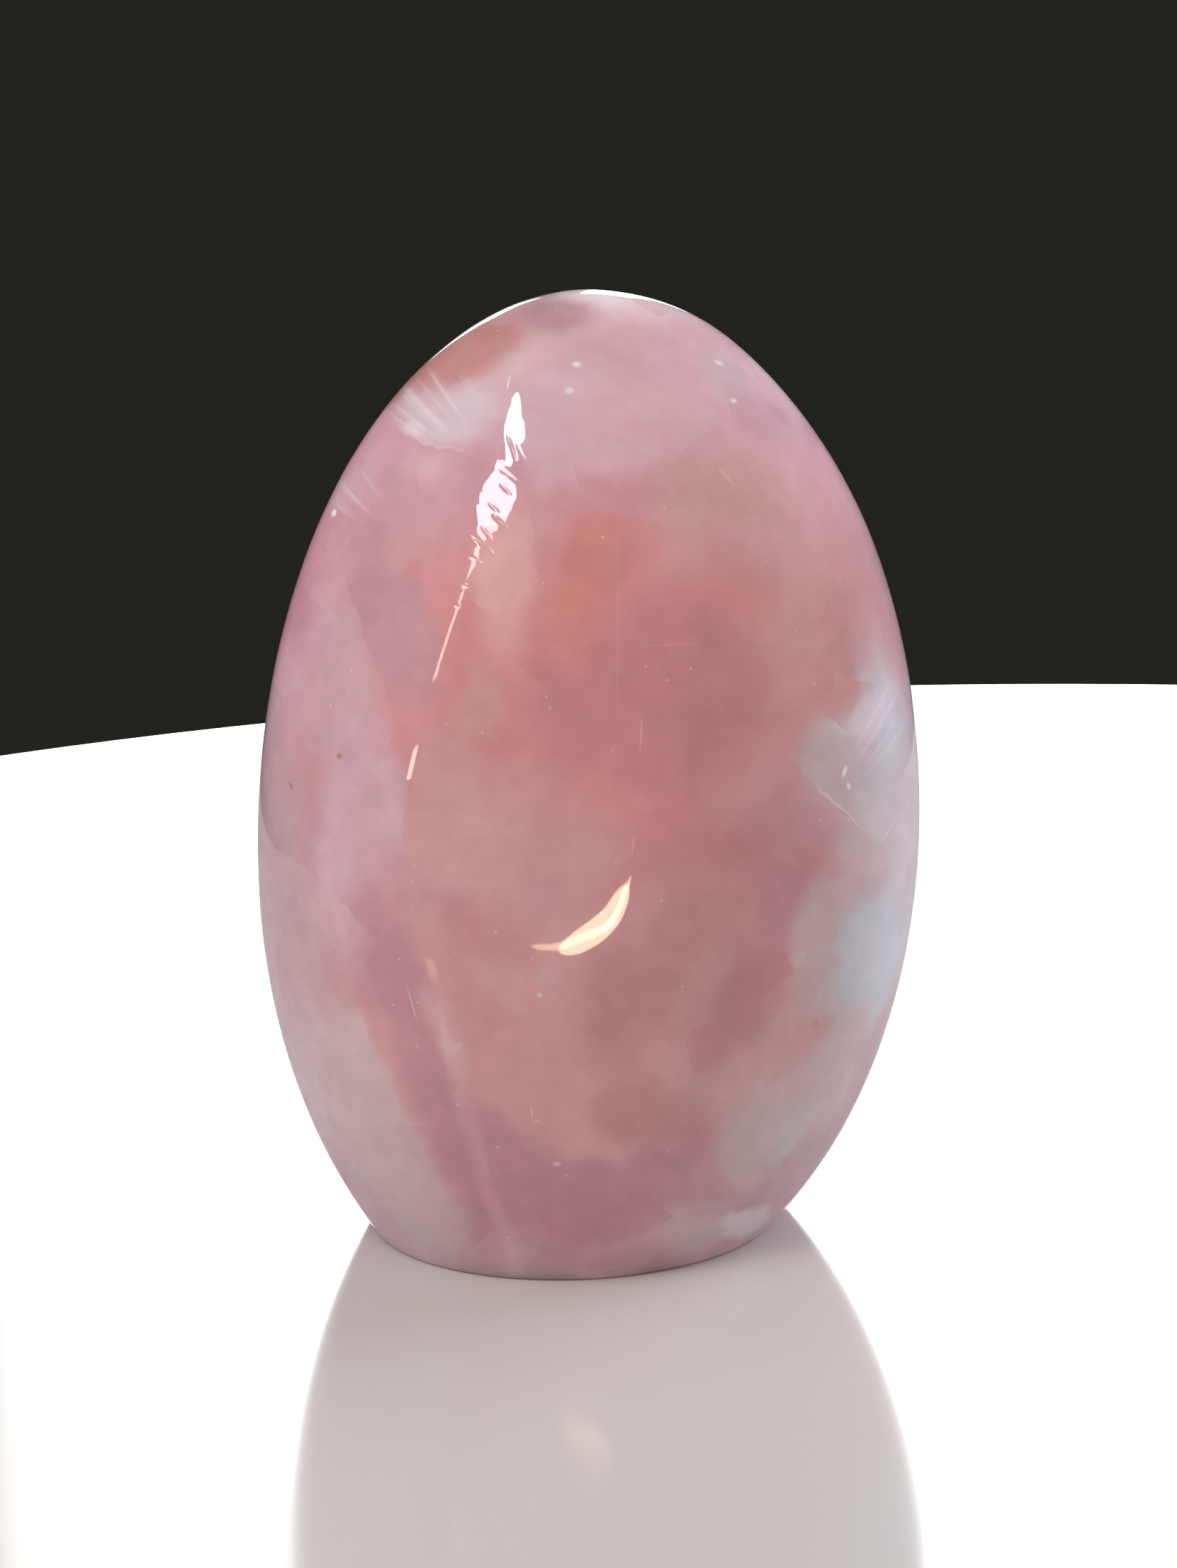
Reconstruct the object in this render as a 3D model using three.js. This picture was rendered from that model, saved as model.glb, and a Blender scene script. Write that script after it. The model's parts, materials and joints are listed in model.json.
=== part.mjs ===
import * as THREE from 'three';
import { mergeVertices } from 'three/addons/utils/BufferGeometryUtils.js';

// A hand-sized standing stone of rose quartz: one solid piece, ground by hand to an egg outline, polished all over
// and sawn flat underneath so that it stands by itself. Millimetres, +Z up, the flat base on z = 0, front towards -Y.

// Driving dimensions
const height = 100;

// How far the rough egg reaches from the upright line through its crown, on each of its four sides.
// Each side is an ellipse arc that is widest at one height, closes at the crown, and would close that far below.
const sides = {
  left: { reach: 37.4, widestAt: 37.5, closesBelow: 53.9 },
  right: { reach: 33.5, widestAt: 45.3, closesBelow: 53.2 },
  front: { reach: 31.3, widestAt: 41.0, closesBelow: 62.6 },
  back: { reach: 25.1, widestAt: 38.0, closesBelow: 66.0 },
};

// The broad faces that the grinding wheel left. turn is the way a face looks, in degrees from the front towards the
// right, lift is degrees above level, and depth is how much of the rough egg it took away at its middle.
const groundFaces = [
  { name: 'front', turn: -6, lift: 9, depth: 2.2 },
  { name: 'front right', turn: 22, lift: 5, depth: 1.6 },
  { name: 'low right', turn: 30, lift: -10, depth: 1.0 },
  { name: 'upper left', turn: -42, lift: 19, depth: 2.2 },
  { name: 'left', turn: -52, lift: -4, depth: 0.6 },
  { name: 'crown front', turn: 10, lift: 52, depth: 1.4 },
  { name: 'right shoulder', turn: 62, lift: 40, depth: 0.8 },
  { name: 'crown back', turn: 168, lift: 62, depth: 1.2 },
  { name: 'back left', turn: -138, lift: 9, depth: 1.2 },
  { name: 'back right', turn: 150, lift: 6, depth: 1.3 },
  { name: 'back low', turn: 178, lift: -12, depth: 1.2 },
];
const ridgeCrispness = 40; // 10 gives faces that melt together, 60 gives sharp ridges
const heartLevel = 0.45; // share of the height at which the faces are measured from, inside the stone

// Mesh steps: across each side of the cube that is pulled on to the stone, and up its sides
const stepsAcross = 24;
const stepsUp = 26;
const crownSteps = stepsAcross / 2;
const halvings = 40; // of a measuring line, to find where it leaves the stone
const mergeGap = 1e-4; // cube corners nearer to each other than this are one point

const rad = THREE.MathUtils.degToRad;

function reachAt({ reach, widestAt, closesBelow }, z) {
  const far = z > widestAt ? (z - widestAt) / (height - widestAt) : (widestAt - z) / closesBelow;
  return reach * Math.sqrt(Math.max(0, 1 - far * far));
}

// The level section of the rough egg at one height: its middle and its half width and half depth
function sectionAt(z) {
  const left = reachAt(sides.left, z), right = reachAt(sides.right, z);
  const front = reachAt(sides.front, z), back = reachAt(sides.back, z);
  return { x: (right - left) / 2, y: (back - front) / 2, wide: (left + right) / 2, deep: (front + back) / 2 };
}

const base = sectionAt(0);
const heart = new THREE.Vector3(base.x, base.y, heartLevel * height); // every measuring line starts here

// How near a point is to the surface: under 1 inside, 1 on it, over 1 outside
function fullness(point, faces) {
  if (point.z >= height) return Infinity;
  const { x, y, wide, deep } = sectionAt(point.z);
  let sum = Math.hypot((point.x - x) / wide, (point.y - y) / deep) ** ridgeCrispness;
  for (const { normal, distance } of faces) {
    const along = point.clone().sub(heart).dot(normal) / distance;
    if (along > 0) sum += along ** ridgeCrispness;
  }
  return sum ** (1 / ridgeCrispness);
}

// The point where a line from inside the stone comes out through its surface
function surfacePoint(from, direction, faces) {
  let inside = 0, outside = 2 * height;
  for (let i = 0; i < halvings; i++) {
    const middle = (inside + outside) / 2;
    if (fullness(from.clone().addScaledVector(direction, middle), faces) < 1) inside = middle;
    else outside = middle;
  }
  return from.clone().addScaledVector(direction, inside);
}

function levelDirection(around) {
  return new THREE.Vector3(Math.cos(around), Math.sin(around), 0);
}

// Even angles across a side of the cube, so that the quads stay about the same size
function evenAngle(across) {
  return Math.tan(across * Math.PI / 4);
}

// Moves one point of a cube of half side 1 on to the stone: its underside on to the flat base, the rest on to the wall
function placeOnStone(corner, faces) {
  const around = Math.atan2(evenAngle(corner.y), evenAngle(corner.x));
  const level = levelDirection(around);
  const baseCentre = new THREE.Vector3(base.x, base.y, 0);
  const rim = surfacePoint(baseCentre, level, faces);
  const outwards = Math.max(Math.abs(corner.x), Math.abs(corner.y));
  if (corner.z <= -1 && outwards < 1) return baseCentre.lerp(rim, outwards);
  const row = corner.z < 1 ? stepsUp * (corner.z + 1) / 2 : stepsUp + crownSteps * (1 - outwards);
  if (row === 0) return rim;
  const rimAngle = Math.atan2(-heart.z, rim.distanceTo(baseCentre));
  const rise = THREE.MathUtils.lerp(rimAngle, Math.PI / 2, row / (stepsUp + crownSteps));
  const direction = level.multiplyScalar(Math.cos(rise)).setZ(Math.sin(rise));
  return surfacePoint(heart, direction, faces);
}

function shapeStone(faces) {
  const cube = new THREE.BoxGeometry(2, 2, 2, stepsAcross, stepsAcross, stepsUp);
  cube.deleteAttribute('normal');
  cube.deleteAttribute('uv');
  const geometry = mergeVertices(cube, mergeGap);
  const place = geometry.attributes.position;
  const corner = new THREE.Vector3();
  for (let i = 0; i < place.count; i++) {
    corner.fromBufferAttribute(place, i);
    place.setXYZ(i, ...placeOnStone(corner, faces));
  }
  return geometry;
}

// Each wheel face is a plane that lies its depth below the farthest point of the rough egg in its direction
function measureFaces(rough) {
  const place = rough.attributes.position;
  const point = new THREE.Vector3();
  return groundFaces.map(({ turn, lift, depth }) => {
    const normal = new THREE.Vector3(
      Math.sin(rad(turn)) * Math.cos(rad(lift)), -Math.cos(rad(turn)) * Math.cos(rad(lift)), Math.sin(rad(lift)));
    let farthest = 0;
    for (let i = 0; i < place.count; i++) {
      farthest = Math.max(farthest, point.fromBufferAttribute(place, i).sub(heart).dot(normal));
    }
    return { normal, distance: farthest - depth };
  });
}

// The finished stone stands with the middle of its box over the origin, at exactly its height
function settle(geometry) {
  geometry.computeBoundingBox();
  const { min, max } = geometry.boundingBox;
  geometry.translate(-(min.x + max.x) / 2, -(min.y + max.y) / 2, 0);
  geometry.scale(1, 1, height / max.z);
  geometry.computeVertexNormals();
  return geometry;
}

const roseQuartz = new THREE.MeshStandardMaterial({ color: 0xc48f95, roughness: 0.06, metalness: 0 });

const faces = measureFaces(shapeStone([]));
const stone = new THREE.Mesh(settle(shapeStone(faces)), roseQuartz);
stone.name = 'stone';

const standingStone = new THREE.Group();
standingStone.add(stone);

export default standingStone;
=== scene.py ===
import json
import math
import bpy
from mathutils import Matrix, Vector

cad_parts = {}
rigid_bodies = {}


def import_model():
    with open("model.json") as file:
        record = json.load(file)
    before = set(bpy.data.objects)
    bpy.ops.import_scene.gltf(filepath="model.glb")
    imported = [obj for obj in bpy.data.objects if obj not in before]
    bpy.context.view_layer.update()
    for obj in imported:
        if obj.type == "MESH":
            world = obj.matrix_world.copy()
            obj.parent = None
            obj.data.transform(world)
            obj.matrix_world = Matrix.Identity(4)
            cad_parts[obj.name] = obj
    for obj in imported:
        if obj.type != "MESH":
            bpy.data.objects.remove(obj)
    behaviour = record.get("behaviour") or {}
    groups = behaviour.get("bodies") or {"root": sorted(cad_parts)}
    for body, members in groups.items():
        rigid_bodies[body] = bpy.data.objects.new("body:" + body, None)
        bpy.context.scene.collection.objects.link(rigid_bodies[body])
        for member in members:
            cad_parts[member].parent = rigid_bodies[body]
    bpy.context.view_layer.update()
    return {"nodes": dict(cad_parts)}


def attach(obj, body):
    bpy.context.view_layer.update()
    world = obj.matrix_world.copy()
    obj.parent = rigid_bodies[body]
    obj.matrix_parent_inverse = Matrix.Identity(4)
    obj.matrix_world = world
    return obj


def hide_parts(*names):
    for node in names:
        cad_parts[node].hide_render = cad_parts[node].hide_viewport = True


# A hand-polished standing stone of rose quartz, on a plain pale floor.
mm = 0.001

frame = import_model()
print("frame loaded:", ", ".join(frame["nodes"]))


def linear(hexColour):
    # one sRGB hex colour as linear numbers with alpha
    parts = [int(hexColour[i:i + 2], 16) / 255 for i in (1, 3, 5)]
    return tuple(p / 12.92 if p <= 0.04045 else ((p + 0.055) / 1.055) ** 2.4 for p in parts) + (1.0,)


def addNode(tree, kind, settings=None, inputs=None):
    # adds a node with its settings; inputs are plain values, or the sockets that feed it
    node = tree.nodes.new("ShaderNode" + kind)
    for name, value in (settings or {}).items():
        setattr(node, name, value)
    for name, value in (inputs or {}).items():
        if isinstance(value, bpy.types.NodeSocket):
            tree.links.new(value, node.inputs[name])
        else:
            node.inputs[name].default_value = value
    return node


def newMaterial(name):
    material = bpy.data.materials.new(name)
    material.use_nodes = True
    material.node_tree.nodes.clear()
    return material, material.node_tree


# Camera: stands a little above the stone and looks slightly down
camera = {
    "eye": (0.2, -268.8, 93.2),  # mm
    "tilt": 9.59,  # degrees below level
    "roll": 1.77,  # degrees, the stone's upright leans left in the picture
    "focalPixels": 3600,  # in the picture's own 1661 x 2212 pixels
    "tall": 2212,
    "sensor": 36,  # mm
    "near": 10,  # mm, nearer things aren't seen
    "far": 20000,
}


def makeCamera():
    data = bpy.data.cameras.new("camera")
    data.sensor_width = camera["sensor"]
    data.lens = camera["focalPixels"] * camera["sensor"] / camera["tall"]
    data.clip_start = camera["near"] * mm
    data.clip_end = camera["far"] * mm
    made = bpy.data.objects.new("camera", data)
    tilt = Matrix.Rotation(math.radians(90 - camera["tilt"]), 4, "X")
    roll = Matrix.Rotation(math.radians(-camera["roll"]), 4, "Z")
    made.matrix_world = Matrix.Translation(Vector(camera["eye"]) * mm) @ tilt @ roll
    bpy.context.collection.objects.link(made)
    bpy.context.scene.camera = made
    print("camera placed")


# Stage: a pale polished floor under the stone, a dark backdrop behind it and soft grey light in front
stage = {
    "floorRadius": 300,  # mm
    "floorCorners": 128,
    "floorMiddle": (60, 131),  # mm
    "floorColour": "#CFCBC6",
    "floorRoughness": 0.11,
    "backdrop": "#1E1E1B",
    "studio": "#A6A7A7",
    "studioStrength": 1.25,
    "studioLies": (0.25, -1.0, 0.0),  # the way to the light side of the studio
    "studioStarts": -0.86,  # how far round to that side the grey begins, and where it is full
    "studioFull": -0.1,
}


def makeFloor():
    bpy.ops.object.select_all(action="DESELECT")
    x, y = stage["floorMiddle"]
    bpy.ops.mesh.primitive_circle_add(vertices=stage["floorCorners"], radius=stage["floorRadius"] * mm,
                                      fill_type="NGON", location=(x * mm, y * mm, 0))
    floor = bpy.context.object
    floor.name = "floor"
    bpy.ops.object.transform_apply(location=True)
    material, tree = newMaterial("pale polished floor")
    shader = addNode(tree, "BsdfPrincipled", inputs={"Base Color": linear(stage["floorColour"]),
                                                      "Roughness": stage["floorRoughness"]})
    addNode(tree, "OutputMaterial", inputs={"Surface": shader.outputs[0]})
    floor.data.materials.append(material)
    print("floor laid")


# Soft boxes: place, aim and size in mm, power in watts; lean turns a box in its own plane, in degrees.
# The polish mirrors a box unless it says otherwise, and a box with "only" shines on that one thing.
softBoxes = {
    "floorWash": {"at": (0, 2000, 615), "aim": (0, 0, 100), "size": (1120, 930), "watts": 16,
                  "colour": "#FFFFFF", "only": "floor"},
    "rimRight": {"at": (185, 2000, 1060), "aim": (0, 0, 100), "size": (330, 980), "watts": 5,
                 "colour": "#F4F8FF"},
    "rimLeft": {"at": (-330, 2000, 700), "aim": (0, 0, 100), "size": (280, 420), "watts": 1.6,
                "colour": "#F4F8FF"},
    "stripTop": {"at": (-563, -473, 1365), "aim": (0, -10, 88), "size": (150, 700), "lean": 29,
                 "watts": 3.9, "colour": "#F4F8FF", "shape": "ELLIPSE"},
    "stripMiddle": {"at": (-595, -600, 880), "aim": (0, 0, 60), "size": (104, 270), "lean": 18,
                    "watts": 1.35, "colour": "#E6EEFF"},
    "stripLow": {"at": (-575, -600, 620), "aim": (0, 0, 60), "size": (130, 120), "lean": 20, "watts": 0.5,
                 "colour": "#FBF8FF"},
    "stripFoot": {"at": (-590, -600, 490), "aim": (0, 0, 60), "size": (90, 100), "lean": 20, "watts": 0.3,
                  "colour": "#FFF2EA"},
    "stripHeel": {"at": (-600, -600, 360), "aim": (0, 0, 60), "size": (46, 100), "watts": 0.15,
                  "colour": "#FFE9DC"},
    "lampLeft": {"at": (-590, -600, 200), "aim": (0, 0, 60), "size": (60, 60), "watts": 0.15,
                 "colour": "#FFE2C4"},
    "warmCard": {"at": (-24, -600, -1), "aim": (0, 0, 45), "size": (176, 62), "lean": 14, "watts": 0.42,
                 "colour": "#FFDFB8", "shape": "ELLIPSE"},
    "warmCardTail": {"at": (-64, -600, -11), "aim": (0, 0, 45), "size": (180, 18), "lean": 3,
                     "watts": 0.07, "colour": "#FFD9AE", "shape": "ELLIPSE"},
    "warmCardTip": {"at": (16, -600, 12), "aim": (0, 0, 45), "size": (100, 20), "lean": 32, "watts": 0.06,
                    "colour": "#FFD9AE", "shape": "ELLIPSE"},
    "glowRight": {"at": (900, 560, 200), "aim": (0, 0, 40), "size": (700, 800), "watts": 15,
                  "colour": "#ECF0FF", "mirrored": False},
    "glowLeft": {"at": (-900, 560, 120), "aim": (0, 0, 30), "size": (600, 400), "watts": 4.5,
                 "colour": "#ECF0FF", "mirrored": False},
    "glowFront": {"at": (-560, -520, 1120), "aim": (0, 0, 60), "size": (400, 700), "watts": 2.1,
                  "colour": "#FFE4D2", "mirrored": False},
}


def makeLights():
    world = bpy.data.worlds.new("studio")
    world.use_nodes = True
    tree = world.node_tree
    tree.nodes.clear()
    way = addNode(tree, "TexCoord")
    towards = addNode(tree, "VectorMath", {"operation": "DOT_PRODUCT"}, {
        0: way.outputs["Generated"], 1: stage["studioLies"]})
    front = addNode(tree, "MapRange", {"interpolation_type": "SMOOTHSTEP"}, {
        "Value": towards.outputs["Value"],
        "From Min": stage["studioStarts"], "From Max": stage["studioFull"]})
    colour = addNode(tree, "Mix", {"data_type": "RGBA"}, {
        0: front.outputs[0], 6: linear(stage["backdrop"]), 7: linear(stage["studio"])})
    light = addNode(tree, "Background", inputs={
        "Color": colour.outputs[2], "Strength": stage["studioStrength"]})
    addNode(tree, "OutputWorld", inputs={"Surface": light.outputs[0]})
    bpy.context.scene.world = world
    for name, box in softBoxes.items():
        data = bpy.data.lights.new(name, "AREA")
        data.shape = box.get("shape", "RECTANGLE")
        data.size, data.size_y = (side * mm for side in box["size"])
        data.energy = box["watts"]
        data.color = linear(box["colour"])[:3]
        made = bpy.data.objects.new(name, data)
        facing = (Vector(box["aim"]) - Vector(box["at"])).to_track_quat("-Z", "Y").to_matrix().to_4x4()
        lean = Matrix.Rotation(math.radians(box.get("lean", 0)), 4, "Z")
        made.matrix_world = Matrix.Translation(Vector(box["at"]) * mm) @ facing @ lean
        made.visible_camera = False
        made.visible_glossy = box.get("mirrored", True)
        bpy.context.collection.objects.link(made)
        if "only" in box:
            lit = bpy.data.collections.new(name + " lights")
            lit.objects.link(bpy.data.objects[box["only"]])
            made.light_linking.receiver_collection = lit
    print("soft boxes hung:", len(softBoxes))


# The quartz's tones, as the eye meets them through the polish
tones = {
    "milk": "#C6C4CB",
    "blueMilk": "#BFC4CC",
    "mist": "#C6B2B7",
    "veil": "#D6CCD5",
    "lilac": "#D0B5BF",
    "palePink": "#D6B2BB",
    "pink": "#D1A6B0",
    "lavender": "#C8A4AE",
    "ash": "#BBA3A8",
    "mauve": "#C4969F",
    "pinkMauve": "#C59AA6",
    "plum": "#BA8B9A",
    "mauveDeep": "#B67D8C",
    "rose": "#CA8C96",
    "deepRose": "#C48890",
    "salmon": "#D09393",
    "orange": "#D39088",
    "peach": "#DFB6B5",
    "tan": "#CDA4A3",
    "brownRose": "#CA9EA0",
    "ochre": "#B98889",
    "flank": "#BC8F92",
    "dusk": "#B5808A",
    "clay": "#BC7F78",
    "spark": "#EEE9F2",
    "rust": "#A2705E",
}


usualCore = 0.15  # a patch is full this far out from its heart, unless it has a core of its own


def softPatch(tree, place, patch):
    # how far a point lies inside a soft egg-shaped patch: its share at the heart, 0 outside
    turn = patch.get("turn", 0)
    if turn:
        # the axes turned about the front-to-back line are made once for each turn
        name = f"{place.node.name} turned {turn}"
        if name not in tree.nodes:
            addNode(tree, "Mapping", {"vector_type": "TEXTURE", "name": name},
                    {"Vector": place, "Rotation": (0, math.radians(turn), 0)})
        place = tree.nodes[name].outputs[0]
    heart = Matrix.Rotation(math.radians(-turn), 3, "Y") @ Vector(patch["at"])
    local = addNode(tree, "VectorMath", {"operation": "MULTIPLY_ADD"}, {
        0: place, 1: [1 / half for half in patch["size"]],
        2: [-middle / half for middle, half in zip(heart, patch["size"])]})
    reach = addNode(tree, "VectorMath", {"operation": "LENGTH"}, {0: local.outputs[0]})
    inside = addNode(tree, "MapRange", {"interpolation_type": "SMOOTHERSTEP"}, {
        "Value": reach.outputs["Value"], "From Min": 1.0, "From Max": patch.get("core", usualCore),
        "To Max": patch["share"]})
    return inside.outputs[0]


# Planes of the healed cracks, where the colour steps: a point on each in mm, the way it faces, and half
# the width of the step in mm
cracks = {
    "leftCrack": {"at": (-22, -14, 67), "facing": (0.84, -0.21, 0.51), "ease": 0.35},
    "rightCrack": {"at": (24, -20, 49), "facing": (0.66, 0.2, 0.72), "ease": 0.35},
    "veilEdge": {"at": (-12.8, -13, 84.3), "facing": (0.49, 0.15, 0.86), "ease": 0.6},
    "sideCrack": {"at": (-17.2, -23.8, 47), "facing": (0.83, -0.55, 0.0), "ease": 0.4},
    "footCrack": {"at": (-19, -21, 19.5), "facing": (0.78, -0.52, 0.35), "ease": 0.9},
    "heartTop": {"at": (-0.6, -20.9, 78.0), "facing": (0.13, 0.3, 0.94), "ease": 0.3},
    "heartSide": {"at": (3.7, -23.5, 68.5), "facing": (0.99, 0.1, 0.0), "ease": 0.3},
    "heartLeft": {"at": (-3.5, -22.5, 70.0), "facing": (0.98, 0.1, 0.1), "ease": 0.4},
}


def crackSides(tree, place):
    # for each healed crack, how far a point lies in front of its plane, in mm
    sides = {}
    for name, crack in cracks.items():
        away = addNode(tree, "VectorMath", {"operation": "SUBTRACT"}, {0: place, 1: crack["at"]})
        ahead = addNode(tree, "VectorMath", {"operation": "DOT_PRODUCT"}, {
            0: away.outputs[0], 1: crack["facing"]})
        sides[name] = ahead.outputs["Value"]
    return sides


def cutAtCrack(tree, share, patch, sides):
    # a cloud that ends at a healed crack keeps one side of it
    ease = cracks[patch["crack"]]["ease"]
    kept = addNode(tree, "MapRange", {"interpolation_type": "SMOOTHSTEP"}, {
        "Value": sides[patch["crack"]],
        "From Min": -ease * patch["side"], "From Max": ease * patch["side"]})
    return addNode(tree, "Math", {"operation": "MULTIPLY"}, {0: share, 1: kept.outputs[0]}).outputs[0]


# Pale seams along three of the cracks: each shows inside its own soft patch, this wide in mm
seams = {
    "leftCrack": {"at": (-21, -15, 66), "size": (9, 12, 14), "turn": -20, "share": 0.15, "wide": 0.22,
                  "tone": "peach"},
    "rightCrack": {"at": (25, -19.5, 48), "size": (6, 8, 6), "share": 0.4, "wide": 0.2, "tone": "spark"},
    "veilEdge": {"at": (-15, -13, 85), "size": (8, 8, 5), "share": 0.25, "wide": 0.3, "tone": "spark"},
}


def seamLayers(tree, place, sides):
    # a thin pale line where each healed crack meets the surface
    for name, seam in seams.items():
        away = addNode(tree, "Math", {"operation": "ABSOLUTE"}, {0: sides[name]})
        line = addNode(tree, "MapRange", inputs={
            "Value": away.outputs[0], "From Min": seam["wide"], "From Max": 0.0})
        share = addNode(tree, "Math", {"operation": "MULTIPLY"}, {
            0: softPatch(tree, place, seam), 1: line.outputs[0]})
        yield share.outputs[0], seam["tone"]


# How the clouds' edges run: broad drift, fine curl, and small steps from one shard of the crystal to the
# next; size and reach in mm
edges = {
    "drift": {"size": 22, "reach": 8, "detail": 2},
    "curl": {"size": 5, "reach": 2.4, "detail": 2},
    "shards": {"size": 10, "reach": 1.6},
}


def shiftPlace(tree, place, pattern, reach):
    # moves a place by a colour pattern, up to half the reach each way
    middle = addNode(tree, "VectorMath", {"operation": "SUBTRACT"}, {
        0: pattern.outputs["Color"], 1: (0.5, 0.5, 0.5)})
    moved = addNode(tree, "VectorMath", {"operation": "MULTIPLY_ADD"}, {
        0: middle.outputs[0], 1: (reach, reach, reach), 2: place})
    return moved.outputs[0]


def crystalPlaces(tree):
    # the place in mm, the same with a fine curl, and the fully drifted one that the clouds follow
    coords = addNode(tree, "TexCoord")
    scaled = addNode(tree, "VectorMath", {"operation": "SCALE"}, {
        0: coords.outputs["Object"], "Scale": 1 / mm})
    place = scaled.outputs[0]
    curl = addNode(tree, "TexNoise", inputs={
        "Vector": place, "Scale": 1 / edges["curl"]["size"], "Detail": edges["curl"]["detail"]})
    curled = shiftPlace(tree, place, curl, edges["curl"]["reach"])
    drift = addNode(tree, "TexNoise", inputs={
        "Vector": place, "Scale": 1 / edges["drift"]["size"], "Detail": edges["drift"]["detail"]})
    drifted = shiftPlace(tree, curled, drift, edges["drift"]["reach"])
    shards = addNode(tree, "TexVoronoi", inputs={"Vector": curled, "Scale": 1 / edges["shards"]["size"]})
    return place, curled, shiftPlace(tree, drifted, shards, edges["shards"]["reach"])


# The tones under all the clouds: by height in mm, with a broad drift towards one of them; the pink at the
# foot is painted glow from the floor
growth = {
    "heights": ((0, "pink"), (7, "plum"), (20, "brownRose"), (45, "deepRose"), (68, "salmon"), (84, "pink"),
                (100, "pink")),
    "driftSize": 24,  # mm
    "driftDetail": 2,
    "driftTone": "lilac",
    "driftShare": 0.4,
    "driftStarts": 0.45,  # noise level where the drift begins, and where it is full
    "driftFull": 0.7,
}


def growthColour(tree, place, drifted):
    # the crystal's tone by height, with painted floor glow at the foot, and the broad drift over it
    top = growth["heights"][-1][0]
    height = addNode(tree, "SeparateXYZ", inputs={0: drifted})
    rise = addNode(tree, "Math", {"operation": "MULTIPLY"}, {0: height.outputs["Z"], 1: 1 / top})
    ramp = addNode(tree, "ValToRGB", inputs={0: rise.outputs[0]})
    stops = ramp.color_ramp.elements
    for number, (level, tone) in enumerate(growth["heights"]):
        at = level / top
        stop = stops[number] if number < 1 else stops.new(at)
        stop.position = at
        stop.color = linear(tones[tone])
    stops.remove(stops[-1])
    drift = addNode(tree, "TexNoise", inputs={
        "Vector": place, "Scale": 1 / growth["driftSize"], "Detail": growth["driftDetail"]})
    share = addNode(tree, "MapRange", {"interpolation_type": "SMOOTHSTEP"}, {
        "Value": drift.outputs[0], "To Max": growth["driftShare"],
        "From Min": growth["driftStarts"], "From Max": growth["driftFull"]})
    mixed = addNode(tree, "Mix", {"data_type": "RGBA"}, {
        0: share.outputs[0], 6: ramp.outputs[0], 7: linear(tones[growth["driftTone"]])})
    return mixed.outputs[2]


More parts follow.
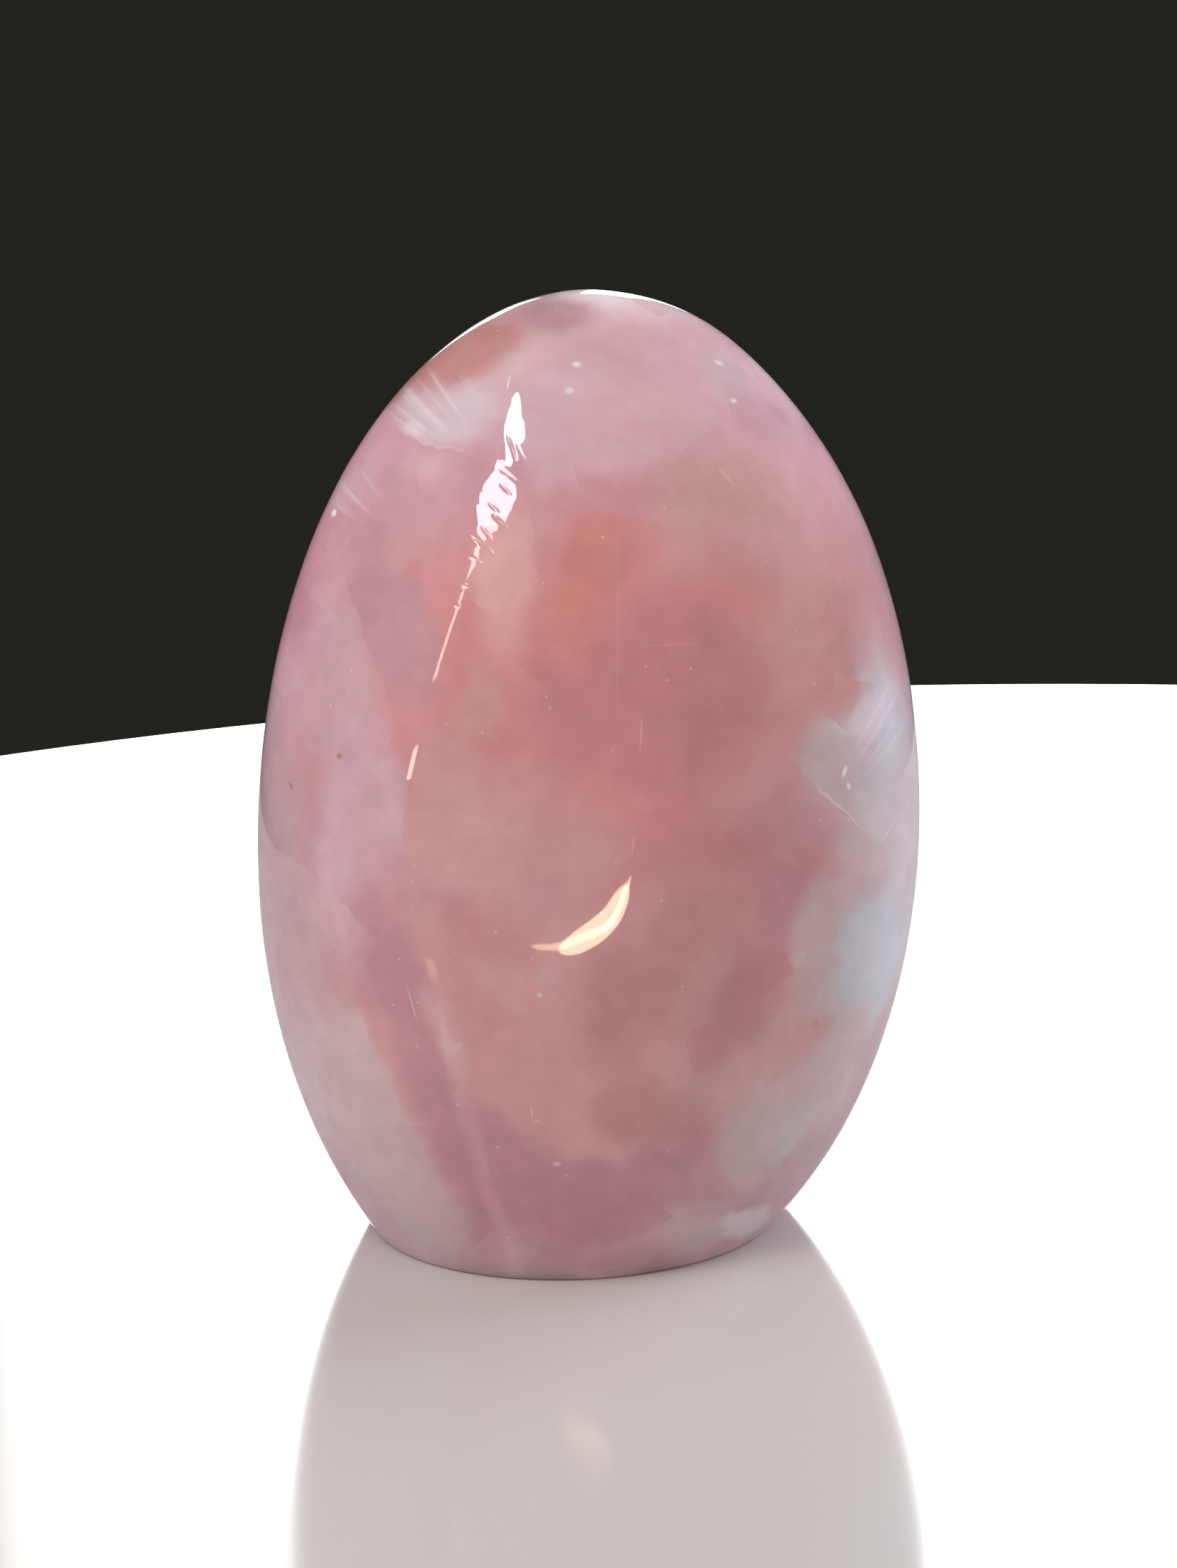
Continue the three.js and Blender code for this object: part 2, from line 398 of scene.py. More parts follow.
# Clouds in the quartz, laid one over the other: place and half sizes in mm, turn in degrees clockwise
# from the front, tone, share of the tone at the heart; a cloud with a side ends at a crack, in front of
# or behind its plane
clouds = {
    "crownBlush": {"at": (6, -6, 93), "size": (24, 26, 11), "tone": "pink", "share": 0.9},
    "leftShoulder": {"at": (-13, -13, 83), "size": (18, 22, 12), "turn": -20, "tone": "pinkMauve",
                     "share": 0.6},
    "rightShoulder": {"at": (18, -13, 85), "size": (13, 20, 12), "turn": 30, "tone": "pink",
                      "share": 0.6},
    "waist": {"at": (4, -25, 61), "size": (25, 24, 20), "tone": "salmon", "share": 0.8},
    "lowerBody": {"at": (3, -27, 33), "size": (21, 24, 18), "tone": "brownRose", "share": 0.8},
    "foot": {"at": (-3, -22, 10), "size": (17, 20, 8), "core": 0.3, "tone": "plum", "share": 0.9},
    "leftFlank": {"at": (-33, 0, 64), "size": (9, 24, 20), "tone": "pinkMauve", "share": 0.8},
    "leftMargin": {"at": (-34, -6, 39), "size": (10, 32, 36), "core": 0.4, "tone": "ash", "share": 0.85},
    "leftFootMargin": {"at": (-23, -15, 15), "size": (12, 20, 20), "turn": -20, "core": 0.5,
                       "tone": "mist", "share": 0.85, "crack": "footCrack", "side": -1},
    "rightMargin": {"at": (34, -6, 42), "size": (8, 22, 30), "core": 0.4, "tone": "milk", "share": 0.75},
    "rightUpperMargin": {"at": (31, -4, 72), "size": (6, 20, 17), "turn": -20, "tone": "palePink",
                         "share": 0.6},
    "rightFootMargin": {"at": (25, -12, 16), "size": (7, 18, 17), "turn": 30, "core": 0.4, "tone": "ash",
                        "share": 0.9},
    "upperLeftMargin": {"at": (-25, -8, 74), "size": (7, 14, 14), "turn": 20, "tone": "mauve",
                        "share": 0.6},
    "crownSalmon": {"at": (-13.2, -7, 93), "size": (6.8, 14, 14), "turn": 56, "core": 0.4, "tone": "clay",
                    "share": 0.85},
    "crownDusk": {"at": (-2, -5, 98), "size": (6.5, 12, 4), "tone": "dusk", "share": 0.75},
    "crownVeil": {"at": (-13, -11, 87), "size": (9, 18, 5.5), "turn": 10, "core": 0.3, "tone": "veil",
                  "share": 0.65, "crack": "veilEdge", "side": 1},
    "belowVeil": {"at": (-15, -14, 82), "size": (6, 10, 4), "turn": 10, "tone": "palePink", "share": 0.8,
                  "crack": "veilEdge", "side": -1},
    "fleckCloud": {"at": (0, -12, 91), "size": (5, 12, 3), "tone": "lilac", "share": 0.6},
    "leftShoulderVeil": {"at": (-23, -8, 79), "size": (4.5, 12, 3), "turn": -10, "tone": "mist",
                         "share": 0.4},
    "rightLilac": {"at": (14, -10, 91), "size": (6, 12, 3.5), "turn": 40, "tone": "mist", "share": 0.75},
    "upperRose": {"at": (19, -10, 86), "size": (6, 12, 4.5), "turn": 38, "tone": "pinkMauve",
                  "share": 0.6},
    "upperLilac": {"at": (-2, -17, 85), "size": (6.5, 12, 5.5), "tone": "lilac", "share": 0.8},
    "aboveHeart": {"at": (3, -21, 79), "size": (9, 12, 4), "core": 0.3, "tone": "rose", "share": 0.55},
    "upperPink": {"at": (4, -16, 84), "size": (12, 12, 5), "turn": 5, "tone": "palePink", "share": 0.6},
    "streakPink": {"at": (-3, -19, 82), "size": (3.4, 8, 3.2), "turn": 20, "tone": "palePink",
                   "share": 0.5},
    "shoulderTan": {"at": (15, -18, 78.5), "size": (10, 12, 6), "core": 0.45, "tone": "tan",
                    "share": 0.8},
    "sideTan": {"at": (22, -18, 66), "size": (5, 12, 12), "tone": "tan", "share": 0.6},
    "rightFlank": {"at": (29, -10, 66), "size": (9, 18, 17), "tone": "flank", "share": 0.75},
    "salmonHeart": {"at": (4, -22, 73), "size": (8, 12, 8), "core": 0.45, "tone": "salmon", "share": 0.8,
                    "crack": "heartTop", "side": -1},
    "heartTan": {"at": (3, -22.5, 74), "size": (4.5, 10, 6), "core": 0.5, "tone": "clay", "share": 0.35,
                 "crack": "heartTop", "side": -1},
    "orangeCore": {"at": (1, -23, 68), "size": (4.5, 10, 7), "core": 0.3, "tone": "orange", "share": 0.65,
                   "crack": "heartSide", "side": -1},
    "orangeUpper": {"at": (2.5, -22, 75.5), "size": (3.5, 10, 3), "tone": "orange", "share": 0.6},
    "peachBand": {"at": (-6.5, -22, 71), "size": (5, 12, 11), "turn": 10, "core": 0.3, "tone": "peach",
                  "share": 0.7, "crack": "heartLeft", "side": -1},
    "peachBandLow": {"at": (-11, -23, 60), "size": (3.5, 12, 7), "turn": 10, "tone": "tan", "share": 0.6},
    "deepRose": {"at": (9, -24, 60.5), "size": (13, 14, 12), "core": 0.4, "tone": "deepRose",
                 "share": 0.9},
    "deepRoseLeft": {"at": (-2.5, -24, 59.5), "size": (5.5, 12, 7), "core": 0.3, "tone": "deepRose",
                     "share": 0.85},
    "deepRoseTip": {"at": (8.5, -26, 49.5), "size": (5, 12, 4.5), "tone": "rose", "share": 0.8},
    "mauveWedge": {"at": (-19, -17, 67), "size": (5.5, 12, 12), "turn": -20, "core": 0.5, "tone": "mauve",
                   "share": 0.95, "crack": "leftCrack", "side": 1},
    "mauveWedgeTop": {"at": (-21, -12, 75), "size": (5, 12, 4), "turn": -20, "tone": "mauve",
                      "share": 0.6, "crack": "leftCrack", "side": 1},
    "paleLavender": {"at": (-25, -13, 60), "size": (8, 18, 16), "turn": -10, "core": 0.4,
                     "tone": "lavender", "share": 0.85, "crack": "leftCrack", "side": -1},
    "leftDusk": {"at": (-28.5, -8, 69), "size": (5, 14, 9), "tone": "plum", "share": 0.8},
    "paleSide": {"at": (-22, -21, 49), "size": (8, 12, 11), "core": 0.5, "tone": "lavender",
                 "share": 0.85, "crack": "sideCrack", "side": -1},
    "leftPale": {"at": (-24, -20, 45.5), "size": (6, 12, 11), "tone": "lavender", "share": 0.8,
                 "crack": "sideCrack", "side": -1},
    "leftPink": {"at": (-25, -18, 38), "size": (7, 12, 11), "turn": -10, "tone": "lilac", "share": 0.6,
                 "crack": "sideCrack", "side": -1},
    "waistLavender": {"at": (-19, -23, 50), "size": (3, 10, 6), "tone": "lilac", "share": 0.5},
    "tanSide": {"at": (-13, -25, 50), "size": (6, 12, 10), "core": 0.4, "tone": "tan", "share": 0.7,
                "crack": "sideCrack", "side": 1},
    "leftCentre": {"at": (-9, -26, 46.5), "size": (7, 12, 8.5), "tone": "tan", "share": 0.7},
    "greyCentre": {"at": (-0.5, -27, 47), "size": (7.5, 12, 5.5), "core": 0.3, "tone": "brownRose",
                   "share": 0.8},
    "brownMid": {"at": (8, -27, 37), "size": (9, 12, 7), "tone": "ochre", "share": 0.5},
    "leftBrown": {"at": (-15, -25, 37), "size": (4, 10, 6), "tone": "brownRose", "share": 0.7},
    "crescentBrown": {"at": (-9, -27, 34), "size": (5.5, 10, 5.5), "tone": "tan", "share": 0.8},
    "ochreHeart": {"at": (4, -27, 30), "size": (9, 12, 10), "tone": "ochre", "share": 0.8},
    "mauveBand": {"at": (14, -24, 28.5), "size": (6, 13, 11), "turn": 18, "core": 0.1,
                  "tone": "mauveDeep", "share": 0.65},
    "mauveBandLow": {"at": (9, -24, 15.5), "size": (5.5, 12, 9), "turn": 32, "core": 0.2,
                     "tone": "mauveDeep", "share": 0.4},
    "mauveBandTop": {"at": (19, -22.5, 38.5), "size": (4.5, 12, 7.5), "turn": 8, "tone": "plum",
                     "share": 0.75},
    "rightMist": {"at": (28, -16, 50), "size": (9, 16, 15), "core": 0.45, "tone": "mist", "share": 0.85},
    "rightAsh": {"at": (27, -17, 41), "size": (5, 12, 7), "core": 0.3, "tone": "mist", "share": 0.85},
    "roseEdge": {"at": (22.5, -20, 33.5), "size": (5, 12, 10), "turn": 10, "core": 0.4, "tone": "mist",
                 "share": 0.9},
    "plumRight": {"at": (21, -21, 46.5), "size": (6, 12, 5), "turn": 40, "core": 0.3, "tone": "mauve",
                  "share": 0.8, "crack": "rightCrack", "side": -1},
    "insideVeil": {"at": (26, -17.5, 53.5), "size": (8, 12, 9), "core": 0.3, "tone": "mist",
                   "share": 0.85, "crack": "rightCrack", "side": 1},
    "rightVeil": {"at": (30, -13, 57), "size": (6.5, 12, 12), "turn": -12, "tone": "milk", "share": 0.9},
    "veilLow": {"at": (29.5, -15, 47.5), "size": (5.5, 12, 8), "core": 0.2, "tone": "milk", "share": 0.65,
                "crack": "rightCrack", "side": 1},
    "rightVeilPatch": {"at": (27.5, -16, 58.5), "size": (4, 10, 3), "turn": -30, "core": 0.4,
                       "tone": "veil", "share": 0.7},
    "milkLowerRight": {"at": (28, -15.5, 30.5), "size": (7.5, 14, 10), "turn": 12, "core": 0.5,
                       "tone": "blueMilk", "share": 0.95},
    "milkBelow": {"at": (25, -15.5, 20.5), "size": (6, 14, 8.5), "turn": 20, "core": 0.4, "tone": "mist",
                  "share": 0.85},
    "milkSpot": {"at": (24, -19, 32), "size": (1.6, 8, 1.6), "core": 0.3, "tone": "mist", "share": 0.7},
    "milkBelt": {"at": (24, -16, 19), "size": (6, 12, 9), "turn": 20, "tone": "mist", "share": 0.6},
    "milkPatch": {"at": (19.8, -17.5, 14.8), "size": (3.6, 10, 3.8), "core": 0.5, "tone": "blueMilk",
                  "share": 0.6},
    "greyLowRight": {"at": (17, -19, 14.5), "size": (5.5, 12, 10), "turn": 20, "core": 0.3,
                     "tone": "mist", "share": 0.9},
    "rightFoot": {"at": (11, -19, 4), "size": (7, 12, 5), "tone": "mist", "share": 0.8},
    "footTan": {"at": (2.5, -21, 1.5), "size": (7, 10, 3.4), "tone": "ochre", "share": 0.45},
    "whitishOval": {"at": (16, -15, 4), "size": (4.6, 10, 3), "core": 0.5, "tone": "veil", "share": 0.8},
    "leftMauveBand": {"at": (-20.5, -22, 33), "size": (6, 12, 12), "turn": -14, "core": 0.3,
                      "tone": "plum", "share": 0.75},
    "leftPlumLow": {"at": (-16.5, -23.5, 21), "size": (5, 12, 9), "turn": -28, "core": 0.3,
                    "tone": "plum", "share": 0.8},
    "plumPatch": {"at": (-10.5, -24.5, 15), "size": (6, 12, 8.5), "turn": -35, "core": 0.4,
                  "tone": "plum", "share": 0.95},
    "ochrePale": {"at": (0.3, -26, 18.5), "size": (7, 12, 6), "core": 0.55, "tone": "brownRose",
                  "share": 0.8},
    "brownLow": {"at": (5, -26, 20), "size": (7, 12, 6.5), "core": 0.3, "tone": "ochre", "share": 0.75},
    "leftFoot": {"at": (-18, -17, 6), "size": (7, 12, 6), "turn": -20, "tone": "mist", "share": 0.85},
    "lavenderFeather": {"at": (-15, -25, 27), "size": (2.6, 8, 7), "turn": -20, "tone": "lilac",
                        "share": 0.35},
    "backMilk": {"at": (-14, 22, 62), "size": (13, 16, 19), "turn": 20, "tone": "milk", "share": 0.6},
    "backRose": {"at": (12, 24, 44), "size": (15, 16, 21), "turn": -10, "tone": "rose", "share": 0.8},
    "backSalmon": {"at": (6, 16, 80), "size": (14, 14, 9), "tone": "salmon", "share": 0.7},
    "backPlum": {"at": (-8, 22, 14), "size": (18, 14, 9), "tone": "plum", "share": 0.8},
    "backOchre": {"at": (-18, 20, 36), "size": (7, 12, 9), "tone": "ochre", "share": 0.6},
    "backVeil": {"at": (18, 18, 68), "size": (5, 10, 11), "turn": -30, "tone": "veil", "share": 0.8,
                 "crack": "rightCrack", "side": 1},
}


def cloudLayers(tree, drifted, sides):
    # the clouds in their order, those with a side cut off at their crack
    for cloud in clouds.values():
        share = softPatch(tree, drifted, cloud)
        if "crack" in cloud:
            share = cutAtCrack(tree, share, cloud, sides)
        yield share, cloud["tone"]


# Feathery veils: fine rays that fan out from a focus, inside a soft patch; places in mm
rayStarts = 0.46  # noise level where a ray begins to show, and where it is full
rayFull = 0.68
rayDetail = 2
feathers = {
    "crownRays": {"at": (-15, -9, 89), "size": (7, 10, 5), "turn": 10, "core": 0.4, "focus": (-5, 0, 79),
                  "rays": 16, "tone": "spark", "share": 0.4},
    "shoulderRays": {"at": (-23, -8, 80), "size": (5, 8, 4), "focus": (-14, 0, 72), "rays": 11,
                     "tone": "spark", "share": 0.35},
    "marginRays": {"at": (30, -14, 54), "size": (5, 10, 8), "focus": (20, 0, 44), "rays": 14,
                   "tone": "spark", "share": 0.25},
    "lowLeftRays": {"at": (-16, -25, 29), "size": (3, 8, 7), "focus": (-6, -20, 8), "rays": 14,
                    "tone": "veil", "share": 0.16},
    "backRays": {"at": (16, 18, 64), "size": (8, 10, 12), "focus": (2, 14, 40), "rays": 12,
                 "tone": "veil", "share": 0.6},
}


def featherLayers(tree, place, curled):
    # each fan of rays is noise over the upright directions seen from its focus
    for feather in feathers.values():
        x, _, z = feather["focus"]
        away = addNode(tree, "VectorMath", {"operation": "MULTIPLY_ADD"}, {
            0: place, 1: (1, 0, 1), 2: (-x, 0, -z)})
        way = addNode(tree, "VectorMath", {"operation": "NORMALIZE"}, {0: away.outputs[0]})
        fan = addNode(tree, "VectorMath", {"operation": "SCALE"}, {
            0: way.outputs[0], "Scale": feather["rays"]})
        rays = addNode(tree, "TexNoise", inputs={
            "Vector": fan.outputs[0], "Scale": 1.0, "Detail": rayDetail})
        lit = addNode(tree, "MapRange", {"interpolation_type": "SMOOTHSTEP"}, {
            "Value": rays.outputs[0], "From Min": rayStarts, "From Max": rayFull})
        share = addNode(tree, "Math", {"operation": "MULTIPLY"}, {
            0: softPatch(tree, curled, feather), 1: lit.outputs[0]})
        yield share.outputs[0], feather["tone"]


# What is everywhere in the stone, and how it takes the light
grain = {
    "cloudSize": 8,  # mm, soft mottling
    "cloudDepth": 0.16,
    "cloudDetail": 4,
    "mistSize": 2.2,  # mm, the fine mist inside the mottling
    "mistDepth": 0.10,
    "mistDetail": 2,
    "hazeDetail": 1,
    "speckGap": 2.0,  # mm between specks, which are drawn coarser than real ones so that they show
    "speckSize": 0.16,  # mm
    "speckShare": 0.35,
    "specksKept": 0.55,  # the share of the places that hold a speck
    "polish": (0.015, 0.05),  # roughness, cleaner and duller places of the polish
    "ior": 1.544,
    "glowDepth": 18,  # mm that light goes into the stone
    "glowTint": (1.0, 0.62, 0.66),  # how much of that depth red, green and blue reach
}


def mottle(tree, drifted, place, colour):
    # soft clouds and fine mist, lighter and darker in the same hue
    for kind, vector in (("cloud", drifted), ("mist", place)):
        noise = addNode(tree, "TexNoise", inputs={
            "Vector": vector, "Scale": 1 / grain[kind + "Size"], "Detail": grain[kind + "Detail"]})
        mixed = addNode(tree, "Mix", {"data_type": "RGBA", "blend_type": "OVERLAY"}, {
            0: grain[kind + "Depth"], 6: colour, 7: noise.outputs[0]})
        colour = mixed.outputs[2]
    return colour


def speckLayers(tree, place):
    # pin-point bubbles, each a small ball in its own cell
    cells = addNode(tree, "TexVoronoi", inputs={"Vector": place, "Scale": 1 / grain["speckGap"]})
    size = grain["speckSize"] / grain["speckGap"]
    ball = addNode(tree, "MapRange", inputs={
        "Value": cells.outputs["Distance"], "From Min": size, "From Max": size / 2,
        "To Max": grain["speckShare"]})
    chance = addNode(tree, "SeparateColor", inputs={0: cells.outputs["Color"]})
    kept = addNode(tree, "Math", {"operation": "LESS_THAN"}, {0: chance.outputs[0], 1: grain["specksKept"]})
    share = addNode(tree, "Math", {"operation": "MULTIPLY"}, {0: ball.outputs[0], 1: kept.outputs[0]})
    yield share.outputs[0], "spark"


# Single marks: small fracture glints, flecks, hair lines, rust stains, and painted highlights where the
# front ridge and the long highlight's top catch light
marks = {
    "blueGlint": {"at": (-25.1, -5.9, 77.8), "size": (0.6, 1, 0.6), "tone": "spark", "share": 1.0},
    "veilPatch": {"at": (-16.4, -10, 86.2), "size": (2.6, 3, 1.3), "turn": 10, "tone": "spark",
                  "share": 0.3},
    "fleckA": {"at": (0.3, -11.6, 92.1), "size": (0.7, 1, 0.5), "tone": "spark", "share": 0.8},
    "fleckB": {"at": (-0.5, -14.3, 89.6), "size": (0.7, 1, 0.6), "tone": "spark", "share": 0.6},
    "crownGlint": {"at": (14.7, -7.0, 91.8), "size": (0.9, 1.5, 0.4), "turn": 20, "tone": "spark",
                   "share": 0.6},
    "shoulderGlint": {"at": (15.9, -10.9, 88.0), "size": (0.6, 1.5, 0.4), "tone": "spark", "share": 0.6},
    "brightCrack": {"at": (14.6, -17.2, 80.9), "size": (0.25, 1.5, 1.5), "turn": -40, "tone": "peach",
                    "share": 0.8},
    # painted highlight: three thin warm lines where the front ridge catches the light, running down towards
    # the crescent-shaped highlight
    "paintedRidgeHighlightA": {"at": (5.4, -25.5, 56.7), "size": (0.12, 3, 2.6), "turn": 5, "tone": "peach",
                  "share": 0.6},
    "paintedRidgeHighlightB": {"at": (3.5, -23, 67), "size": (0.16, 12, 13), "turn": 2, "tone": "peach",
                  "share": 0.25},
    "paintedRidgeHighlightC": {"at": (4.3, -27.0, 46.2), "size": (0.12, 2, 1.6), "turn": 10, "tone": "peach",
                  "share": 0.6},
    "hairLineD": {"at": (8.8, -24.0, 65.2), "size": (5, 4, 0.14), "tone": "peach", "share": 0.2},
    # painted highlight: a thin bright line at the top end of the long highlight
    "paintedStreakTopHighlight": {"at": (-6.5, -12.6, 90.5), "size": (0.14, 2, 1.4), "turn": 14, "tone": "spark",
                   "share": 0.8},
    "lowLine": {"at": (-17.9, -24.2, 30.5), "size": (0.14, 3, 2.6), "turn": -14, "tone": "veil",
                "share": 0.6},
    "rightGlintA": {"at": (25.7, -18.7, 51.4), "size": (0.35, 1.5, 0.9), "turn": 20, "tone": "spark",
                    "share": 0.8},
    "rightGlintB": {"at": (26.1, -18.4, 49.9), "size": (0.3, 1.5, 0.6), "turn": -20, "tone": "spark",
                    "share": 0.7},
    "rightLine": {"at": (30.2, -14.8, 44.1), "size": (0.15, 2, 1.8), "turn": 40, "tone": "spark",
                  "share": 0.35},
    "lowGlint": {"at": (-5.2, -27.6, 31.8), "size": (0.5, 1, 0.4), "tone": "veil", "share": 0.7},
    "lowPatch": {"at": (-4.4, -27.7, 33.6), "size": (2.2, 3, 2), "turn": -30, "tone": "mist",
                 "share": 0.35},
    "lowFleck": {"at": (-13.5, -25.4, 26.2), "size": (0.6, 1, 1.3), "turn": 40, "tone": "lilac",
                 "share": 0.6},
    "lineAcross": {"at": (-6.4, -26.2, 19.6), "size": (0.2, 2, 1.0), "tone": "peach", "share": 0.7},
    "lineUnder": {"at": (-5.9, -26.1, 18.6), "size": (0.6, 2, 0.15), "tone": "peach", "share": 0.7},
    "footFleck": {"at": (-4.1, -25.2, 13.9), "size": (0.6, 1, 0.4), "tone": "veil", "share": 0.6},
    "rightRust": {"at": (22.4, -18.8, 25.6), "size": (0.5, 1, 0.8), "tone": "rust", "share": 0.3},
    "rustA": {"at": (-24.5, -17.8, 54.4), "size": (0.5, 1, 0.5), "tone": "rust", "share": 0.7},
    "rustB": {"at": (-30.0, -13.3, 50.8), "size": (0.3, 1, 0.7), "turn": -30, "tone": "rust",
              "share": 0.6},
}


def markLayers(tree, place):
    # all the marks of one tone are gathered into one share
    for tone in sorted({mark["tone"] for mark in marks.values()}):
        share = 0.0
        for mark in marks.values():
            if mark["tone"] == tone:
                more = addNode(tree, "Math", {"operation": "MAXIMUM"}, {
                    0: softPatch(tree, place, mark), 1: share})
                share = more.outputs[0]
        yield share, tone


def layOver(tree, colour, layers):
    # lays each tone over the colour by its share; each layer is made just before it is laid
    for share, tone in layers:
        laid = addNode(tree, "Mix", {"data_type": "RGBA"}, {0: share, 6: colour, 7: linear(tones[tone])})
        colour = laid.outputs[2]
    return colour


def polishedQuartz():
    # rose quartz, ground and polished: milky pink inside, with light going deep, under a glassy skin
    material, tree = newMaterial("polished rose quartz")
    place, curled, drifted = crystalPlaces(tree)
    sides = crackSides(tree, curled)
    colour = growthColour(tree, place, drifted)
    colour = layOver(tree, colour, cloudLayers(tree, drifted, sides))
    colour = mottle(tree, drifted, place, colour)
    colour = layOver(tree, colour, featherLayers(tree, place, curled))
    colour = layOver(tree, colour, seamLayers(tree, place, sides))
    colour = layOver(tree, colour, speckLayers(tree, place))
    colour = layOver(tree, colour, markLayers(tree, place))
    haze = addNode(tree, "TexNoise", inputs={
        "Vector": place, "Scale": 1 / grain["cloudSize"], "Detail": grain["hazeDetail"]})
    roughness = addNode(tree, "MapRange", inputs={
        "Value": haze.outputs[0], "To Min": grain["polish"][0], "To Max": grain["polish"][1]})
    shader = addNode(tree, "BsdfPrincipled", inputs={
        "Base Color": colour, "Roughness": roughness.outputs[0], "IOR": grain["ior"],
        "Subsurface Weight": 1.0, "Subsurface Radius": grain["glowTint"],
        "Subsurface Scale": grain["glowDepth"] * mm})
    addNode(tree, "OutputMaterial", inputs={"Surface": shader.outputs[0]})
    print("quartz mixed:", len(tree.nodes), "nodes")
    return material


# The stone's own shape work
stoneMake = {
    "meshGap": 0.01,  # mm, points nearer to each other than this are one
    "quadAngle": 60,  # degrees, the most that two triangles made into a quad may differ
    "sawnLevel": 0.999,  # a face that looks down this straight belongs to the sawn base
    "rimEase": 0.4,  # mm, the eased edge round the sawn base
    "rimSteps": 3,
    "fineLevels": 2,  # each cuts every face in four and rounds it
    "waveSize": 9,  # mm, the slight waves that hand polishing leaves
    "waveHeight": 0.05,  # mm
    "flatness": 0.9,  # 1 makes a flat quite flat, 0 leaves the round
    "skinCuts": 5,  # new points on each mesh edge of the finer skin
    "skinSmooth": 4,  # times that the finer skin is smoothed
}

# Small flats that the fine wheel left, where the long highlight breaks: turn is the way a flat looks, in
# degrees from the front towards the right, lift is degrees above level, and depth is in mm
fineFlats = {
    "streakTop": {"turn": -14, "lift": 33, "depth": 0.03},
    "streakWide": {"turn": -18, "lift": 22.5, "depth": 0.12},
}


def grindFlats(stone):
    # each small flat lies just under the outermost skin in its direction, and keeps a little of the round
    points = stone.data.vertices
    for flat in fineFlats.values():
        turn, lift = math.radians(flat["turn"]), math.radians(flat["lift"])
        facing = Vector((math.sin(turn) * math.cos(lift), -math.cos(turn) * math.cos(lift), math.sin(lift)))
        level = max(point.co.dot(facing) for point in points) - flat["depth"] * mm
        for point in points:
            proud = point.co.dot(facing) - level
            if proud > 0:
                point.co -= facing * proud * stoneMake["flatness"]


# Along the long highlight the skin is made finer, inside these egg-shaped places: middle and half sizes
# in mm, and turn in degrees clockwise from upright
fineSkin = {
    "lens": {"at": (-5.6, -16.5, 86), "size": (1.7, 6, 5), "turn": 8},
    "wideFlat": {"at": (-7.9, -20, 78), "size": (2.8, 6, 5.5), "turn": 20},
    "tail": {"at": (-11.3, -21.3, 70.5), "size": (1.4, 6, 5.5), "turn": 24},
}

# Scratches across that highlight: middle, half width, half length and depth in mm, turn in degrees
scratches = {
    "lensFoot": {"at": (-6.3, -17.5, 84.3), "wide": 0.2, "long": 1.4, "deep": 0.04, "turn": -20},
    "lensHair": {"at": (-5.3, -17.9, 83.6), "wide": 0.15, "long": 1.2, "deep": 0.025, "turn": -28},
    "neck": {"at": (-6.7, -18.8, 81.7), "wide": 0.18, "long": 1.5, "deep": 0.04, "turn": -55},
    "wideTop": {"at": (-7.0, -19.4, 80.3), "wide": 0.16, "long": 0.8, "deep": 0.04, "turn": -48},
    "wideMiddle": {"at": (-8.2, -20.1, 78.6), "wide": 0.16, "long": 0.7, "deep": 0.045, "turn": -52},
    "notch": {"at": (-7.4, -20.3, 77.1), "wide": 0.26, "long": 1.3, "deep": 0.09, "turn": -50},
    "wideLow": {"at": (-8.9, -20.5, 76.2), "wide": 0.16, "long": 0.9, "deep": 0.045, "turn": -42},
    "wideFoot": {"at": (-9.2, -20.7, 75.0), "wide": 0.24, "long": 1.8, "deep": 0.08, "turn": -48},
    "tailTop": {"at": (-10.1, -20.8, 73.7), "wide": 0.2, "long": 1.2, "deep": 0.04, "turn": -60},
    "tailMiddle": {"at": (-11.2, -21.1, 71.2), "wide": 0.16, "long": 0.9, "deep": 0.03, "turn": -70},
    "tailLow": {"at": (-12.0, -21.2, 69.3), "wide": 0.16, "long": 0.9, "deep": 0.03, "turn": -65},
}


def fromPatch(patch):
    # gives a function that reads a mesh point from the patch's middle, in mm, in its turned axes
    turned = Matrix.Rotation(math.radians(-patch.get("turn", 0)), 3, "Y")
    middle = Vector(patch["at"])
    return lambda point: turned @ (point / mm - middle)


def refineSkin(stone):
    # more points where the scratches go, rounded off again so that no facet shows
    bpy.ops.object.mode_set(mode="EDIT")
    bpy.ops.mesh.select_all(action="DESELECT")
    bpy.ops.object.mode_set(mode="OBJECT")
    for patch in fineSkin.values():
        seen = fromPatch(patch)
        for polygon in stone.data.polygons:
            if sum((o / half) ** 2 for o, half in zip(seen(polygon.center), patch["size"])) < 1:
                polygon.select = True
    bpy.ops.object.mode_set(mode="EDIT")
    bpy.ops.mesh.subdivide(number_cuts=stoneMake["skinCuts"], smoothness=1.0)
    bpy.ops.mesh.vertices_smooth(factor=0.5, repeat=stoneMake["skinSmooth"])
    bpy.ops.object.mode_set(mode="OBJECT")


def scratchSkin(stone):
    # each scratch is a shallow groove with a round bottom, deepest in its middle
    finePoints = [(point, point.normal.copy()) for point in stone.data.vertices if point.select]
    for scratch in scratches.values():
        seen = fromPatch(scratch)
        for point, outwards in finePoints:
            offset = seen(point.co)
            across, along = abs(offset.x) / scratch["wide"], abs(offset.z) / scratch["long"]
            if across < 1 and along < 1:
                point.co -= outwards * scratch["deep"] * mm * (1 - across ** 2) ** 2 * (1 - along ** 2)


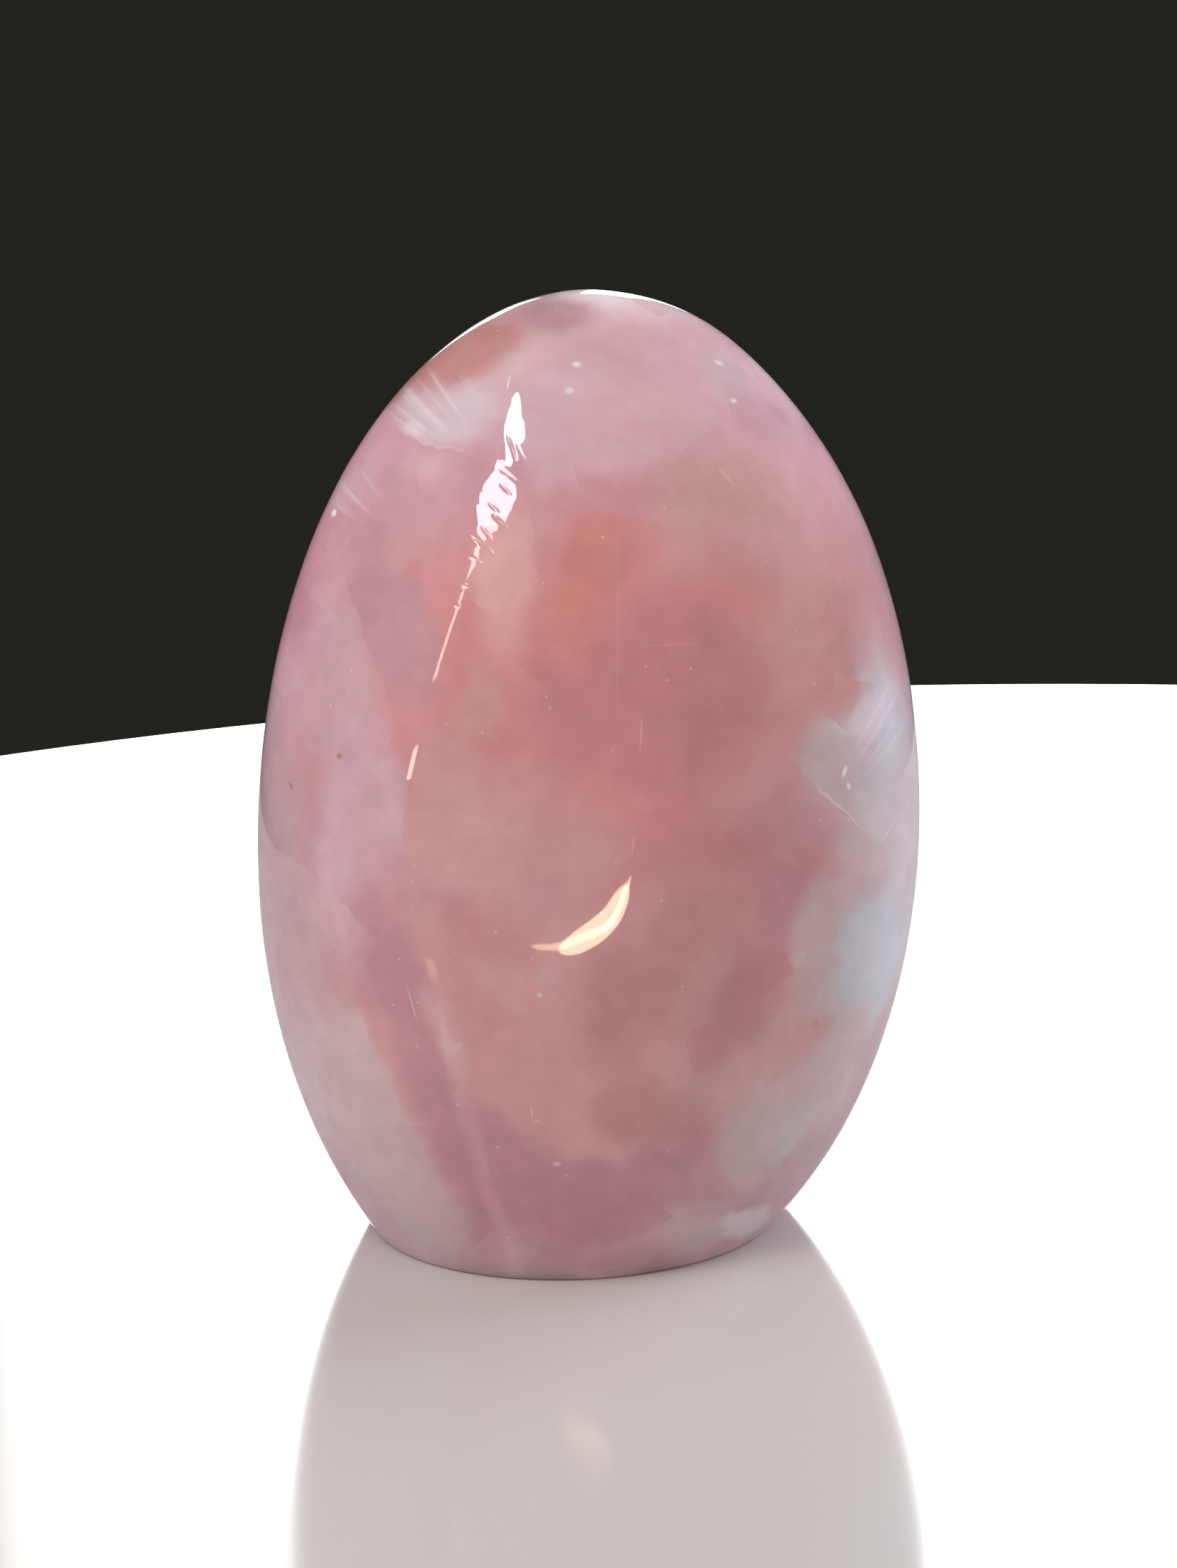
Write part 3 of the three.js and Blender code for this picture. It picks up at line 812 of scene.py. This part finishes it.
def makeStone():
    # a fine copy of the ground solid: rim eased, surface rounded between the grinding steps
    source = bpy.data.objects["stone"]
    stone = bpy.data.objects.new("rose_quartz_stone", source.data.copy())
    bpy.context.collection.objects.link(stone)
    bpy.ops.object.select_all(action="DESELECT")
    stone.select_set(True)
    bpy.context.view_layer.objects.active = stone
    bpy.ops.object.mode_set(mode="EDIT")
    bpy.ops.mesh.select_all(action="SELECT")
    bpy.ops.mesh.remove_doubles(threshold=stoneMake["meshGap"] * mm)
    quadAngle = math.radians(stoneMake["quadAngle"])
    bpy.ops.mesh.tris_convert_to_quads(face_threshold=quadAngle, shape_threshold=quadAngle)
    bpy.ops.mesh.select_all(action="DESELECT")
    bpy.ops.object.mode_set(mode="OBJECT")
    for polygon in stone.data.polygons:
        polygon.select = polygon.normal.z < -stoneMake["sawnLevel"]
    bpy.ops.object.mode_set(mode="EDIT")
    bpy.ops.mesh.select_mode(type="FACE")
    bpy.ops.mesh.region_to_loop()
    bpy.ops.mesh.bevel(offset=stoneMake["rimEase"] * mm, segments=stoneMake["rimSteps"], affect="EDGES")
    bpy.ops.object.mode_set(mode="OBJECT")
    fine = stone.modifiers.new("fine", "SUBSURF")
    fine.levels = fine.render_levels = stoneMake["fineLevels"]
    bpy.ops.object.modifier_apply(modifier="fine")
    wavePattern = bpy.data.textures.new("polishing waves", "CLOUDS")
    wavePattern.noise_scale = stoneMake["waveSize"] * mm
    waves = stone.modifiers.new("waves", "DISPLACE")
    waves.texture = wavePattern
    waves.texture_coords = "LOCAL"
    waves.strength = stoneMake["waveHeight"] * mm
    waves.mid_level = 0.5  # half in, half out
    bpy.ops.object.modifier_apply(modifier="waves")
    grindFlats(stone)
    refineSkin(stone)
    scratchSkin(stone)
    bpy.ops.object.shade_smooth()
    stone.data.materials.clear()
    stone.data.materials.append(polishedQuartz())
    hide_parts("stone")
    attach(stone, "root")
    print("stone shaped:", len(stone.data.polygons), "faces")


bpy.context.scene.view_settings.view_transform = "Standard"
makeCamera()
makeFloor()
makeStone()
makeLights()
